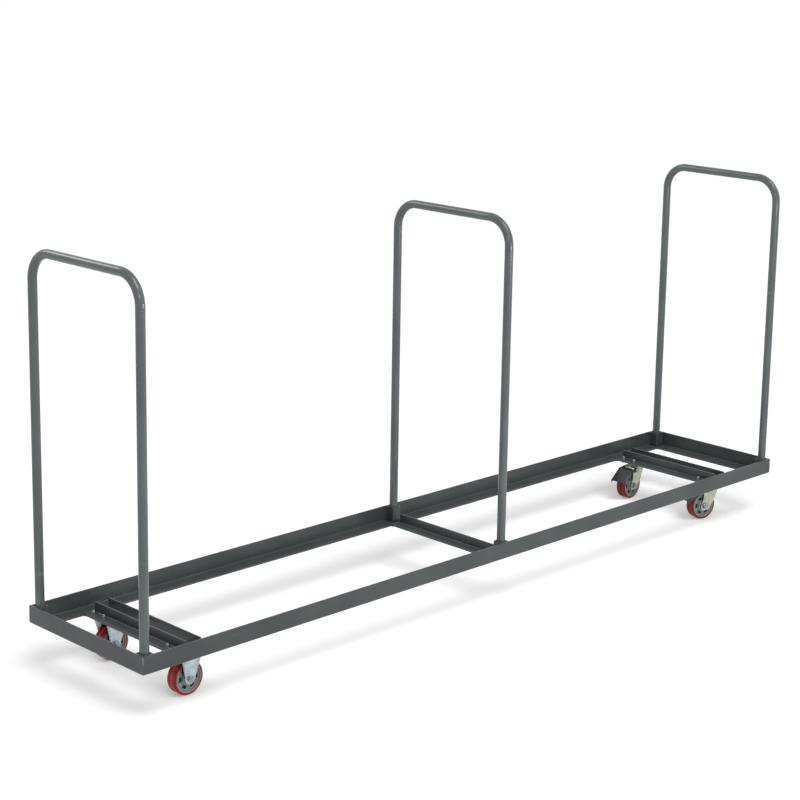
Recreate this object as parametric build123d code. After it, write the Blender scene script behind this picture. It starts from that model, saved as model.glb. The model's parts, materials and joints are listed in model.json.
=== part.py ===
from build123d import *
import math
import os

# Overall sizes of the cart, in millimetres
cart_length = 2650.0
cart_width = 493.0
ride_height = 126.5
cart_height = 1143.0

# Formed steel angle of the base frame
rail_leg = 50.8
rail_wall = 4.5
heel_radius = 6.8
toe_radius = 1.0
cross_flange = 38.1
cross_rise = 31.75
station_gap = 41.0
left_station_inset = 199.5
right_station_inset = 214.5

# Hoops and the sockets that hold their feet
hoop_tube = 25.4
hoop_wall = 2.0
hoop_bend = 76.2
socket_clearance = 0.5
socket_wall = 2.7
socket_corner = 3.5
socket_weld_gap = 0.2
socket_floor = 2.0

# Caster plates and the bolts that hold them
caster_inset = 86.5
plate_length = 92.0
plate_width = 64.0
plate_thickness = 3.0
plate_corner = 6.0
bolt_pitch_x = 75.0
bolt_pitch_y = 45.0
bolt_diameter = 6.35
bolt_head_flats = 11.1
bolt_head_height = 4.3
bolt_thread_out = 3.0
bolt_hole_clearance = 0.5
nut_height = 5.6
washer_diameter = 14.0
washer_thickness = 1.4
thread_clearance = 0.05
hexagon_turning = 0.95
rod_turning = 0.2

# Wheels
wheel_diameter = 94.0
tread_width = 34.0
tread_depth = 7.0
tread_shoulder = 4.0
tread_groove_width = 7.0
tread_groove_depth = 1.8
tread_groove_round = 2.0
core_inset = 1.0
core_rim = 9.0
core_lip = 2.5
core_lip_rise = 3.0
core_web = 8.0
hub_radius = 20.0
hub_width = 36.0
spoke_count = 6
spoke_width = 12.0
pocket_step = 1.0
pocket_corner = 3.0
bearing_radius = 16.0
bearing_width = 9.0
bearing_seal_inset = 0.6
bearing_ring = 2.0
press_gap = 0.01

# Axles
axle_diameter = 10.0
axle_head_flats = 16.0
axle_head_height = 6.4
axle_nut_height = 8.0
axle_thread_out = 1.5
axle_clearance = 0.2
sleeve_radius = 7.5
running_fit = 0.05
hub_side_gap = 1.5

# Pressed sheet of the forks
fork_sheet = 3.0
rigid_leg_width = 34.0
rigid_leg_drop = 14.0
rigid_leg_corner = 16.0
rigid_flat_rise = 5.0
flare_reach = 18.0
flare_tip = 0.5

# Swivel forks: kingpin ahead of the axle, sizes from the axle are ahead and up
swivel_lead = 38.0
crown_drop = 15.0
crown_half = 28.0
crown_fold = 5.0
leg_waist_top = 45.0
leg_waist_rise = 26.0
leg_waist_ahead = -4.0
leg_tail = 15.0
leg_tail_rise = -1.0
leg_drop = 15.0
leg_sole_back = 11.0
leg_sole_front = 18.0
leg_knee_ahead = 38.0
leg_knee_rise = 16.0
leg_shoulder_ahead = 52.0
leg_shoulder_rise = 50.0
leg_round = 8.0
front_swivel_turn = -14.9
rear_swivel_turn = 3.0

# Swivel head: kingpin, two rows of balls and their races
kingpin_diameter = 12.0
kingpin_head_radius = 10.0
kingpin_head_height = 3.0
kingpin_peen_radius = 9.0
kingpin_peen_height = 4.0
race_half_width = 5.5
upper_ball = 6.0
upper_ball_circle = 20.0
upper_ball_count = 18
upper_race_gap = 3.0
lower_ball = 5.0
lower_ball_circle = 12.5
lower_ball_count = 14
lower_race_radius = 17.0
lower_race_gap = 3.5
lower_race_height = 4.5
ball_clearance = 0.1
ball_seat = 0.02

# Brake levers, sizes from the axle are ahead and up
brake_pivot_ahead = 10.0
brake_pivot_room = 1.0
brake_angle = 8.0
brake_gap = 0.3
lever_sheet = 2.5
lever_side_gap = 0.4
lever_nose = 8.0
lever_bend_back = 22.0
lever_bend_rise = 58.0
lever_bend_shift = 0.33
lever_web_start = 8.0
pedal_reach = 66.0
pedal_rise = 24.0
cheek_depth = 9.0
cheek_round = 6.0
shoe_width = 26.0
shoe_length = 24.0
rivet_diameter = 6.0
rivet_head_radius = 5.0
rivet_head_height = 1.5
rivet_head_gap = 0.2

# Sizes that follow from those above
flange_top = ride_height + rail_wall
rail_top = ride_height + rail_leg
heel_inner = heel_radius - rail_wall
cross_span = cart_width - 2 * rail_leg
left_station = -cart_length / 2 + left_station_inset
right_station = cart_length / 2 - right_station_inset
caster_offset = cart_width / 2 - caster_inset
socket_bore = hoop_tube + 2 * socket_clearance
socket_side = socket_bore + 2 * socket_wall
socket_foot = flange_top + heel_inner
hoop_foot = socket_foot + socket_floor
hoop_inset = rail_wall + socket_weld_gap + socket_side / 2
hoop_leg_y = cart_width / 2 - hoop_inset
end_hoop_x = cart_length / 2 - hoop_inset
bolt_hole_radius = bolt_diameter / 2 + bolt_hole_clearance
wheel_radius = wheel_diameter / 2
core_radius = wheel_radius - tread_depth
axle_drop = ride_height - wheel_radius
fork_gap = hub_width + 2 * hub_side_gap
fork_half = fork_gap / 2 + fork_sheet
crown_rise = axle_drop - crown_drop
crown_under = -crown_drop - fork_sheet
brake_pivot_rise = crown_rise - crown_fold - rivet_head_radius - brake_pivot_room
upper_ball_level = -crown_drop + race_half_width + upper_race_gap / 2
upper_race_level = upper_ball_level + upper_race_gap / 2
lower_ball_level = crown_under - lower_ball / 2 - ball_seat
lower_race_top = crown_under - lower_race_gap
lower_race_foot = lower_race_top - lower_race_height
lever_inner = fork_half + lever_side_gap
lever_outer = lever_inner + lever_sheet

# How far pieces of one solid reach into each other, and a length that cuts right through
hidden = 1.0
through = 2 * ride_height


def angle_section(flange, rise):
    """Cross-section of a formed angle, heel at the origin, flange along x and wall along y."""
    outer = [(0, rise), (0, 0), (flange, 0)]
    inner = [(flange, rail_wall), (rail_wall, rail_wall), (rail_wall, rise)]
    rounds = [toe_radius, heel_radius, 0, toe_radius, heel_inner, toe_radius]
    return make_face(FilletPolyline(*outer, *inner, radius=rounds, close=True))


def plan_prism(corners, low, high):
    """Upright prism over a plan outline."""
    return extrude(Plane.XY.offset(low) * make_face(Polyline(*corners, close=True)), high - low)


def side_view_prism(outline, half_width):
    """Prism of an outline drawn in x and z, centred on the x-z plane."""
    face = Plane.XZ * make_face(outline)
    return extrude(face, half_width, both=True)


def cylinder_along_y(radius, low, high):
    """Round bar along y between two places."""
    return Pos(0, (low + high) / 2, 0) * Rot(90, 0, 0) * Cylinder(radius, high - low)


def ring(outer, inner, low, high):
    """Plain ring on the z axis."""
    return Pos(0, 0, (low + high) / 2) * (Cylinder(outer, high - low) - Cylinder(inner, high - low))


def hexagon(flats, low, high):
    """Hexagon on the z axis with its corners turned off at both ends."""
    corner = flats / math.sqrt(3)
    body = Pos(0, 0, low) * extrude(RegularPolygon(corner, 6), high - low)
    blank = Pos(0, 0, (low + high) / 2) * Cylinder(corner, high - low)
    turned = chamfer(blank.edges().filter_by(GeomType.CIRCLE), hexagon_turning * (corner - flats / 2))
    return body & turned


def turned_rod(radius, low, high):
    """Round rod on the z axis with its upper end turned off."""
    rod = Pos(0, 0, (low + high) / 2) * Cylinder(radius, high - low)
    upper_edge = rod.edges().filter_by(GeomType.CIRCLE).sort_by(Axis.Z)[-1]
    return chamfer(upper_edge, rod_turning * radius)


def side_rail():
    """Front side rail, its ends mitred to meet the end rails."""
    start = Plane((-cart_length / 2, -cart_width / 2, ride_height), x_dir=(0, 1, 0), z_dir=(1, 0, 0))
    bar = extrude(start * angle_section(rail_leg, rail_leg), cart_length)
    outer_x = cart_length / 2
    inner_x = outer_x - rail_leg
    outer_y = -cart_width / 2
    inner_y = outer_y + rail_leg
    plan = [(-outer_x, outer_y), (outer_x, outer_y), (inner_x, inner_y), (-inner_x, inner_y)]
    return bar & plan_prism(plan, ride_height - hidden, rail_top + hidden)


def end_rail():
    """Left end rail, its ends mitred to meet the side rails."""
    start = Plane((-cart_length / 2, cart_width / 2, ride_height), x_dir=(1, 0, 0), z_dir=(0, -1, 0))
    bar = extrude(start * angle_section(rail_leg, rail_leg), cart_width)
    outer_x = -cart_length / 2
    inner_x = outer_x + rail_leg
    outer_y = cart_width / 2
    inner_y = outer_y - rail_leg
    plan = [(outer_x, -outer_y), (inner_x, -inner_y), (inner_x, inner_y), (outer_x, outer_y)]
    return bar & plan_prism(plan, ride_height - hidden, rail_top + hidden)


def cross_angle(heel_x, towards):
    """Angle across the cart between the rail flanges, its flange pointing towards +1 or -1 in x."""
    end = (heel_x, towards * cross_span / 2, ride_height)
    start = Plane(end, x_dir=(towards, 0, 0), z_dir=(0, -towards, 0))
    return extrude(start * angle_section(cross_flange, cross_rise), cross_span)


def bolt_places(station):
    """Centres of the eight caster bolts at one station."""
    rows = [side * caster_offset + end * bolt_pitch_y / 2 for side in (-1, 1) for end in (-1, 1)]
    columns = [station + end * bolt_pitch_x / 2 for end in (-1, 1)]
    return [(x, y) for x in columns for y in rows]


def bolt_holes(station):
    """Clearance holes for the caster bolts of one station, right through the flanges."""
    hole = Cylinder(bolt_hole_radius, through)
    return [Pos(x, y, ride_height) * hole for x, y in bolt_places(station)]


def station_angle(station, towards):
    """One of the two cross angles of a caster station, drilled for the caster bolts."""
    return cross_angle(station + towards * station_gap / 2, towards) - bolt_holes(station)


def hoop_sockets(x):
    """Two short cups of square tube that hold the feet of one hoop, welded inside the rail walls."""
    outline = RectangleRounded(socket_side, socket_side, socket_corner)
    bore = RectangleRounded(socket_bore, socket_bore, socket_corner - socket_wall)
    cup = Pos(0, 0, socket_foot) * extrude(outline, rail_top - socket_foot)
    cup -= Pos(0, 0, hoop_foot) * extrude(bore, rail_top - hoop_foot)
    return [Pos(x, side * hoop_leg_y, 0) * cup for side in (-1, 1)]


def hoop(x):
    """Upright hoop: one tube bent twice, its feet standing on the floors of the sockets."""
    bar_height = cart_height - hoop_tube / 2
    corners = [
        (x, -hoop_leg_y, hoop_foot),
        (x, -hoop_leg_y, bar_height),
        (x, hoop_leg_y, bar_height),
        (x, hoop_leg_y, hoop_foot),
    ]
    path = FilletPolyline(*corners, radius=hoop_bend)
    section = Circle(hoop_tube / 2) - Circle(hoop_tube / 2 - hoop_wall)
    return sweep(Plane(corners[0]) * section, path=path)


def at_each_bolt(piece):
    """A copy of a fastener at each of the sixteen caster bolts."""
    places = bolt_places(left_station) + bolt_places(right_station)
    return [Pos(x, y, ride_height) * piece for x, y in places]


def caster_bolt():
    """Bolt from below, its head under the caster plate."""
    top = rail_wall + washer_thickness + nut_height + bolt_thread_out
    head = hexagon(bolt_head_flats, -plate_thickness - bolt_head_height, -plate_thickness)
    shank = turned_rod(bolt_diameter / 2, -plate_thickness - hidden, top)
    return head + shank


def caster_washer():
    """Flat washer on the cross angle."""
    return ring(washer_diameter / 2, bolt_hole_radius, rail_wall, rail_wall + washer_thickness)


def caster_nut():
    """Hexagon nut on the washer."""
    low = rail_wall + washer_thickness
    bore = Pos(0, 0, low) * Cylinder(bolt_diameter / 2 + thread_clearance, through)
    return hexagon(bolt_head_flats, low, low + nut_height) - bore


def caster_plate():
    """Top plate of a caster with its four bolt holes, upper face at the origin."""
    outline = RectangleRounded(plate_length, plate_width, plate_corner)
    holes = GridLocations(bolt_pitch_x, bolt_pitch_y, 2, 2) * Circle(bolt_hole_radius)
    return extrude(Plane.XY.offset(-plate_thickness) * (outline - holes), plate_thickness)


def flared_section(level, reach, spread):
    """Plan of a rigid fork leg at one level: a flat middle with its two sides flared outwards."""
    flat = rigid_leg_width / 2
    inner = fork_gap / 2
    tip = flat + reach
    inside = [(-tip, inner + spread), (-flat, inner), (flat, inner), (tip, inner + spread)]
    outside = [(x, y + fork_sheet) for x, y in reversed(inside)]
    return Plane.XY.offset(level) * make_face(Polyline(*inside, *outside, close=True))


def rigid_leg():
    """One leg of a rigid fork, on the +y side."""
    flat_top = rigid_flat_rise - axle_drop
    spread = plate_width / 2 - fork_half
    low_section = flared_section(flat_top, flare_tip, flare_tip)
    high_section = flared_section(-plate_thickness, flare_reach, spread)
    flared = loft([low_section, high_section], ruled=True)
    sole = -axle_drop - rigid_leg_drop
    half = rigid_leg_width / 2
    corners = [(-half, flat_top), (-half, sole), (half, sole), (half, flat_top)]
    rounds = [0, rigid_leg_corner, rigid_leg_corner, 0]
    foot = Plane.XZ.offset(-fork_half) * make_face(FilletPolyline(*corners, radius=rounds, close=True))
    return flared + extrude(foot, fork_sheet)


def axle_hole():
    """Hole for the axle bolt through both legs of a fork."""
    return Pos(0, 0, -axle_drop) * cylinder_along_y(axle_diameter / 2 + axle_clearance, -through, through)


def rigid_fork():
    """Rigid fork: the top plate and both legs, pressed as one."""
    leg = rigid_leg()
    return caster_plate() + leg + mirror(leg, about=Plane.XZ) - axle_hole()


def axle_bolt():
    """Axle bolt on the y axis, its head on the +y side."""
    head = hexagon(axle_head_flats, fork_half, fork_half + axle_head_height)
    tip = -fork_half - axle_nut_height - axle_thread_out
    length = fork_half + hidden - tip
    shank = Pos(0, 0, tip + length / 2) * Cylinder(axle_diameter / 2, length)
    return Rot(-90, 0, 0) * (head + shank)


def axle_nut():
    """Nut on the -y end of the axle bolt."""
    low = -fork_half - axle_nut_height
    body = hexagon(axle_head_flats, low, -fork_half)
    bore = Pos(0, 0, low) * Cylinder(axle_diameter / 2 + thread_clearance, through)
    return Rot(-90, 0, 0) * (body - bore)


def axle_sleeve():
    """Sleeve that the bearings run on, clamped between the fork legs."""
    bore = axle_diameter / 2 + axle_clearance
    return Rot(-90, 0, 0) * ring(sleeve_radius, bore, -fork_gap / 2, fork_gap / 2)


def tread():
    """Polyurethane tread with rounded shoulders and a shallow groove round its middle."""
    half = tread_width / 2
    groove = tread_groove_width / 2
    low_side = [(core_radius, -half), (wheel_radius, -half), (wheel_radius, -groove)]
    middle = (wheel_radius - tread_groove_depth, 0)
    high_side = [(x, -y) for x, y in reversed(low_side)]
    corners = low_side + [middle] + high_side
    lip = tread_groove_round
    rounds = [0, tread_shoulder, lip, lip, lip, tread_shoulder, 0]
    return revolve(make_face(FilletPolyline(*corners, radius=rounds, close=True)), Axis.Y)


def wheel_pocket():
    """Outline of one pocket between two spokes, between the hub and the rim."""
    inner = hub_radius + pocket_step
    outer = core_radius - core_rim
    half_turn = 180 / spoke_count
    corners = []
    for radius, side in ((inner, -1), (outer, -1), (outer, 1), (inner, 1)):
        turn = side * (math.radians(half_turn) - math.asin(spoke_width / 2 / radius))
        corners.append((radius * math.cos(turn), radius * math.sin(turn)))
    near_low, far_low, far_high, near_high = corners
    edges = [
        Line(near_low, far_low),
        ThreePointArc(far_low, (outer, 0), far_high),
        Line(far_high, near_high),
        ThreePointArc(near_high, (inner, 0), near_low),
    ]
    outline = make_face(edges)
    return fillet(outline.vertices(), pocket_corner)


def wheel_core():
    """Wheel centre: hub, web, spokes and a rim with a raised lip, with pockets on both faces."""
    rim_half = tread_width / 2 - core_inset
    face_half = rim_half - core_lip_rise
    hub_half = hub_width / 2
    body = ring(core_radius, bearing_radius + press_gap, -face_half, face_half)
    body += ring(core_radius, core_radius - core_lip, -rim_half, rim_half)
    body += ring(hub_radius, bearing_radius + press_gap, -hub_half, hub_half)
    shoulder = hub_half - bearing_width
    body += ring(bearing_radius + bearing_ring, sleeve_radius + bearing_ring, -shoulder, shoulder)
    pocket = extrude(wheel_pocket(), hub_half)
    for turn in PolarLocations(0, spoke_count):
        body -= turn * Pos(0, 0, core_web / 2) * pocket
        body -= turn * Pos(0, 0, -core_web / 2 - hub_half) * pocket
    return Rot(-90, 0, 0) * body


def wheel_bearings():
    """Two sealed ball bearings in the hub, each a ring with its seals set in."""
    outer_half = hub_width / 2
    inner_half = outer_half - bearing_width
    bore = sleeve_radius + running_fit
    bearing = ring(bearing_radius, bore, inner_half, outer_half)
    seal_low = outer_half - bearing_seal_inset
    seal = ring(bearing_radius - bearing_ring, bore + bearing_ring, seal_low, outer_half)
    one = Rot(-90, 0, 0) * (bearing - seal)
    return [one, mirror(one, about=Plane.XZ)]


def race_groove(circle, ball, level, room):
    """Round groove for a row of balls."""
    return Pos(0, 0, level) * Torus(circle, ball / 2 + room)


def swivel_plate():
    """Top plate of a swivel caster with its race pressed down."""
    inside = upper_ball_circle - race_half_width
    outside = upper_ball_circle + race_half_width
    plate = caster_plate() + ring(outside, inside, upper_race_level, -plate_thickness)
    plate -= race_groove(upper_ball_circle, upper_ball, upper_ball_level, ball_clearance)
    return plate - Cylinder(kingpin_diameter / 2 + running_fit, through)


def kingpin():
    """Kingpin: head on the plate, shank through both races, peened over below."""
    head = turned_rod(kingpin_head_radius, 0, kingpin_head_height)
    peen_middle = lower_race_foot - kingpin_peen_height / 2
    peen = Pos(0, 0, peen_middle) * Cylinder(kingpin_peen_radius, kingpin_peen_height)
    length = hidden - peen_middle
    shank = Pos(0, 0, peen_middle + length / 2) * Cylinder(kingpin_diameter / 2, length)
    return head + shank + peen


def lower_race():
    """Lower race on the kingpin, under the crown of the fork."""
    race = ring(lower_race_radius, kingpin_diameter / 2 + running_fit, lower_race_foot, lower_race_top)
    return race - race_groove(lower_ball_circle, lower_ball, lower_ball_level, ball_clearance)


def race_balls():
    """Both rows of balls of the swivel head."""
    upper_places = PolarLocations(upper_ball_circle, upper_ball_count)
    lower_places = PolarLocations(lower_ball_circle, lower_ball_count)
    upper = [Pos(0, 0, upper_ball_level) * place * Sphere(upper_ball / 2) for place in upper_places]
    lower = [Pos(0, 0, lower_ball_level) * place * Sphere(lower_ball / 2) for place in lower_places]
    return upper + lower


def from_axle(ahead, rise):
    """Place in the side view of a swivel caster, given from its axle."""
    return (ahead - swivel_lead, rise - axle_drop)


def swivel_fork_outline():
    """Side view of a swivel fork, crown and leg together."""
    corners = [
        from_axle(swivel_lead - crown_half, crown_rise),
        from_axle(leg_waist_ahead, leg_waist_top),
        from_axle(leg_waist_ahead, leg_waist_rise),
        from_axle(-leg_tail, leg_tail_rise),
        from_axle(-leg_sole_back, -leg_drop),
        from_axle(leg_sole_front, -leg_drop),
        from_axle(leg_knee_ahead, leg_knee_rise),
        from_axle(leg_shoulder_ahead, leg_shoulder_rise),
        from_axle(swivel_lead + crown_half, crown_rise),
    ]
    rounds = [0, leg_round, leg_round, leg_round / 2, leg_round / 2, leg_round, leg_round, leg_round, 0]
    return FilletPolyline(*corners, radius=rounds, close=True)


def swivel_fork_bend():
    """End view of the folded sheet: the crown and two legs, folded as a U and drawn out along x."""
    sole = -ride_height
    outer = [(-fork_half, sole), (-fork_half, -crown_drop), (fork_half, -crown_drop), (fork_half, sole)]
    inner_half = fork_gap / 2
    inner = [(-inner_half, sole), (-inner_half, crown_under), (inner_half, crown_under), (inner_half, sole)]
    outer_face = make_face(FilletPolyline(*outer, radius=[0, crown_fold, crown_fold, 0], close=True))
    inner_fold = max(crown_fold - fork_sheet, 0)
    inner_face = make_face(FilletPolyline(*inner, radius=[0, inner_fold, inner_fold, 0], close=True))
    return extrude(Plane.YZ * (outer_face - inner_face), through, both=True)


def swivel_fork():
    """Swivel fork with its race pressed up, kingpin on the z axis."""
    fork = side_view_prism(swivel_fork_outline(), through) & swivel_fork_bend()
    inside = upper_ball_circle - race_half_width
    outside = upper_ball_circle + race_half_width
    fork += ring(outside, inside, crown_under, -crown_drop + race_half_width)
    fork -= race_groove(upper_ball_circle, upper_ball, upper_ball_level, ball_seat)
    fork -= Cylinder(kingpin_diameter / 2 + running_fit, through)
    fork -= Pos(-swivel_lead, 0, 0) * axle_hole()
    pivot_x, pivot_z = from_axle(brake_pivot_ahead, brake_pivot_rise)
    hole = cylinder_along_y(rivet_diameter / 2 + running_fit, -through, through)
    return fork - Pos(pivot_x, 0, pivot_z) * hole


def brake_rivets():
    """Two shoulder rivets, one in each fork leg, that the brake lever turns on."""
    pivot_x, pivot_z = from_axle(brake_pivot_ahead, brake_pivot_rise)
    inner_end = fork_gap / 2
    outer_end = lever_outer + rivet_head_gap
    rivet = cylinder_along_y(rivet_diameter / 2, inner_end - hidden, outer_end + hidden)
    rivet += cylinder_along_y(rivet_head_radius, inner_end - rivet_head_height, inner_end)
    rivet += cylinder_along_y(rivet_head_radius, outer_end, outer_end + rivet_head_height)
    one = Pos(pivot_x, 0, pivot_z) * rivet
    return [one, mirror(one, about=Plane.XZ)]


def lever_line(depth):
    """Nose, bend and pedal end of the brake lever, a distance below its upper edge, given from the axle."""
    nose = (brake_pivot_ahead + lever_nose, brake_pivot_rise + lever_nose - depth)
    bend = (-lever_bend_back + lever_bend_shift * depth, lever_bend_rise - depth)
    end = (-pedal_reach, pedal_rise - depth)
    return [nose, bend, end]


def lever_cheek_outline():
    """Side view of the brake lever: a bent strip with a round boss at the pivot."""
    upper = lever_line(0)
    lower = lever_line(cheek_depth)
    boss_low = (brake_pivot_ahead + lever_nose, brake_pivot_rise - lever_nose)
    boss_back = (brake_pivot_ahead - lever_nose, brake_pivot_rise - lever_nose)
    points = upper + [lower[2], lower[1], boss_back, boss_low]
    rounds = [cheek_round, cheek_round, 0, 0, cheek_round, cheek_round, cheek_round]
    return FilletPolyline(*[from_axle(*point) for point in points], radius=rounds, close=True)


def brake_lever():
    """Brake lever: two cheeks outside the fork legs, joined by a web behind them that ends as the pedal."""
    outline = lever_cheek_outline()
    lever = side_view_prism(outline, lever_outer)
    web_start, _ = from_axle(-lever_web_start, 0)
    skin = side_view_prism(outline, lever_outer + hidden)
    below_web = Pos(0, 0, -lever_sheet) * skin
    room = side_view_prism(outline, lever_inner)
    ahead = Pos(web_start + through / 2, 0, -axle_drop) * Box(through, 2 * lever_inner, through)
    lever -= room & below_web
    lever -= room & ahead
    pivot_x, pivot_z = from_axle(brake_pivot_ahead, brake_pivot_rise)
    hole = cylinder_along_y(rivet_diameter / 2 + running_fit, -through, through)
    return lever - Pos(pivot_x, 0, pivot_z) * hole


def brake_shoe():
    """Shoe under the lever's web, hollowed to meet the tread when the lever is pressed down."""
    bend, end = lever_line(lever_sheet)[1:]
    slope = math.atan2(bend[1] - end[1], bend[0] - end[0])
    along = (math.cos(slope), math.sin(slope))
    foot = end[0] * along[0] + end[1] * along[1]
    centre = (end[0] - foot * along[0], end[1] - foot * along[1])
    depth = math.hypot(*centre) - wheel_radius / 2
    x, z = from_axle(*centre)
    blank = Pos(0, 0, -depth / 2) * Box(shoe_length, shoe_width, depth)
    blank = Pos(x, 0, z) * Rot(0, -math.degrees(slope), 0) * blank
    press = math.radians(-brake_angle)
    arm = (-brake_pivot_ahead, -brake_pivot_rise)
    turned_x = arm[0] * math.cos(press) - arm[1] * math.sin(press)
    turned_z = arm[0] * math.sin(press) + arm[1] * math.cos(press)
    wheel_x, wheel_z = from_axle(brake_pivot_ahead + turned_x, brake_pivot_rise + turned_z)
    wheel = cylinder_along_y(wheel_radius + brake_gap, -through, through)
    return blank - Pos(wheel_x, 0, wheel_z) * wheel


def write(name, pieces):
    """Write one node, a single piece or a group of separate pieces."""
    group = pieces if isinstance(pieces, list) else [pieces]
    solids = [solid for piece in group for solid in piece.solids()]
    export_step(solids[0] if len(solids) == 1 else Compound(children=solids), f"parts/{name}.step")


os.makedirs("parts", exist_ok=True)

# Base frame
front_rail = side_rail()
left_rail = end_rail()
write("front_side_rail", front_rail)
write("rear_side_rail", mirror(front_rail, about=Plane.XZ))
write("left_end_rail", left_rail)
write("right_end_rail", mirror(left_rail, about=Plane.YZ))
write("left_outer_cross_angle", station_angle(left_station, -1))
write("left_inner_cross_angle", station_angle(left_station, 1))
write("middle_cross_angle", cross_angle(rail_wall, -1))
write("right_inner_cross_angle", station_angle(right_station, -1))
write("right_outer_cross_angle", station_angle(right_station, 1))

# Hoops and their sockets
for place, hoop_x in (("left", -end_hoop_x), ("middle", 0.0), ("right", end_hoop_x)):
    write(f"{place}_hoop_sockets", hoop_sockets(hoop_x))
    write(f"{place}_hoop", hoop(hoop_x))

# Caster fasteners
write("caster_bolts", at_each_bolt(caster_bolt()))
write("caster_washers", at_each_bolt(caster_washer()))
write("caster_nuts", at_each_bolt(caster_nut()))

# Rigid casters at the left end
rigid_places = {
    "front_left": Pos(left_station, -caster_offset, ride_height),
    "rear_left": Pos(left_station, caster_offset, ride_height),
}
rigid_axles = [place * Pos(0, 0, -axle_drop) for place in rigid_places.values()]
write("rigid_axle_bolts", [axle * axle_bolt() for axle in rigid_axles])
write("rigid_axle_nuts", [axle * axle_nut() for axle in rigid_axles])
write("rigid_axle_sleeves", [axle * axle_sleeve() for axle in rigid_axles])
for corner, place in rigid_places.items():
    write(f"{corner}_fork", place * rigid_fork())

# Swivel casters at the right end
swivel_plates = {
    "front_right": Pos(right_station, -caster_offset, ride_height),
    "rear_right": Pos(right_station, caster_offset, ride_height),
}
swivel_turns = {"front_right": front_swivel_turn, "rear_right": rear_swivel_turn}
swivel_places = {corner: place * Rot(0, 0, swivel_turns[corner]) for corner, place in swivel_plates.items()}
for corner, place in swivel_places.items():
    fixed = swivel_plates[corner]
    axle = place * Pos(-swivel_lead, 0, -axle_drop)
    write(f"{corner}_top_plate", fixed * swivel_plate())
    write(f"{corner}_kingpin", fixed * kingpin())
    write(f"{corner}_lower_race", fixed * lower_race())
    write(f"{corner}_race_balls", [place * ball for ball in race_balls()])
    write(f"{corner}_fork", place * swivel_fork())
    write(f"{corner}_axle_bolt", axle * axle_bolt())
    write(f"{corner}_axle_nut", axle * axle_nut())
    write(f"{corner}_axle_sleeve", axle * axle_sleeve())
    write(f"{corner}_brake_rivets", [place * rivet for rivet in brake_rivets()])
    write(f"{corner}_brake_lever", place * brake_lever())
    write(f"{corner}_brake_shoe", place * brake_shoe())

# Wheels of all four casters
wheel_places = {corner: place * Pos(0, 0, -axle_drop) for corner, place in rigid_places.items()}
for corner, place in swivel_places.items():
    wheel_places[corner] = place * Pos(-swivel_lead, 0, -axle_drop)
for corner, place in wheel_places.items():
    write(f"{corner}_wheel_core", place * wheel_core())
    write(f"{corner}_tread", place * tread())
    write(f"{corner}_wheel_bearings", [place * bearing for bearing in wheel_bearings()])
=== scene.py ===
# %% [markdown]
# This lesson dresses a long, low cart: a frame of grey steel angle on four casters, with three bent tube
# hoops standing across it. The solids of the cart come from its CAD model and are never moved. What is
# added here is what a solid model leaves out: finishes, weld beads, threads, finer treads, bearing seals
# and the photograph's light.

# %% Load the frame
import json
import math
import bmesh
import bpy
from mathutils import Matrix, Vector


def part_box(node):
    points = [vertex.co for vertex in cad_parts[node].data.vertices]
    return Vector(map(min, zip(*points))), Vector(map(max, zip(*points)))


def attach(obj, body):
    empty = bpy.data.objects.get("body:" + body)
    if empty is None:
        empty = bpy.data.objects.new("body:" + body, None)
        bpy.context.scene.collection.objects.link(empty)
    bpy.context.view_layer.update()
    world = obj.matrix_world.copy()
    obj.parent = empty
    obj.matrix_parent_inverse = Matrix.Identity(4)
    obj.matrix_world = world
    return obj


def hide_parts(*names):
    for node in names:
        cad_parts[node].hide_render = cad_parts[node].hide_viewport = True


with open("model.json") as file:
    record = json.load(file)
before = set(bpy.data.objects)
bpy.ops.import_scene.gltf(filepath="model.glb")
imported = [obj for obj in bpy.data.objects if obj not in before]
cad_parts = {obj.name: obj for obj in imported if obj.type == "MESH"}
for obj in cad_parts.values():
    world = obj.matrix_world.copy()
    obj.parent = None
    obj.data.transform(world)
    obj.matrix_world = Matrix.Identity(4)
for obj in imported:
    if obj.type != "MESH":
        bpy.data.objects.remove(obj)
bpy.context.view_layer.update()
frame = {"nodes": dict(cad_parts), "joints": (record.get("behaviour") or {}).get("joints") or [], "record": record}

record = frame["record"]
nodes = frame["nodes"]
joints = {joint["name"]: joint for joint in frame["joints"]}

# %% [markdown]
# Blender works in metres and in linear light, while a maker thinks in millimetres and picks colours as hex
# values on a screen. Two small functions make both changes in one place. A third adds one node to any
# tree, shader or geometry, with its settings and its links, so that every tree below reads as a list of
# steps. Its inputs are a list in the order of the node's sockets, or a table of which socket gets what.

# %% Units, colours and nodes
MM = 0.001


def linear(hex_colour):
    """The linear RGBA value of an sRGB colour written as hex."""
    shares = [int(hex_colour[i:i + 2], 16) / 255 for i in (1, 3, 5)]
    return [s / 12.92 if s <= 0.04045 else ((s + 0.055) / 1.055) ** 2.4 for s in shares] + [1.0]


def per_mm(size):
    """Texture scale that makes a pattern repeat about every so many millimetres."""
    return 1 / (size * MM)


def add(tree, kind, inputs=(), out=None, **settings):
    """Add a node with its settings, fill or link its inputs, and return it or the output asked for."""
    node = tree.nodes.new(kind)
    for name, value in settings.items():
        setattr(node, name, value)
    sockets = inputs if isinstance(inputs, dict) else dict(enumerate(inputs))
    for key, value in sockets.items():
        if isinstance(value, bpy.types.NodeSocket):
            tree.links.new(value, node.inputs[key])
        else:
            node.inputs[key].default_value = value
    return node if out is None else node.outputs[out]


print("a mid grey in linear light", [round(v, 3) for v in linear("#808080")])

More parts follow.
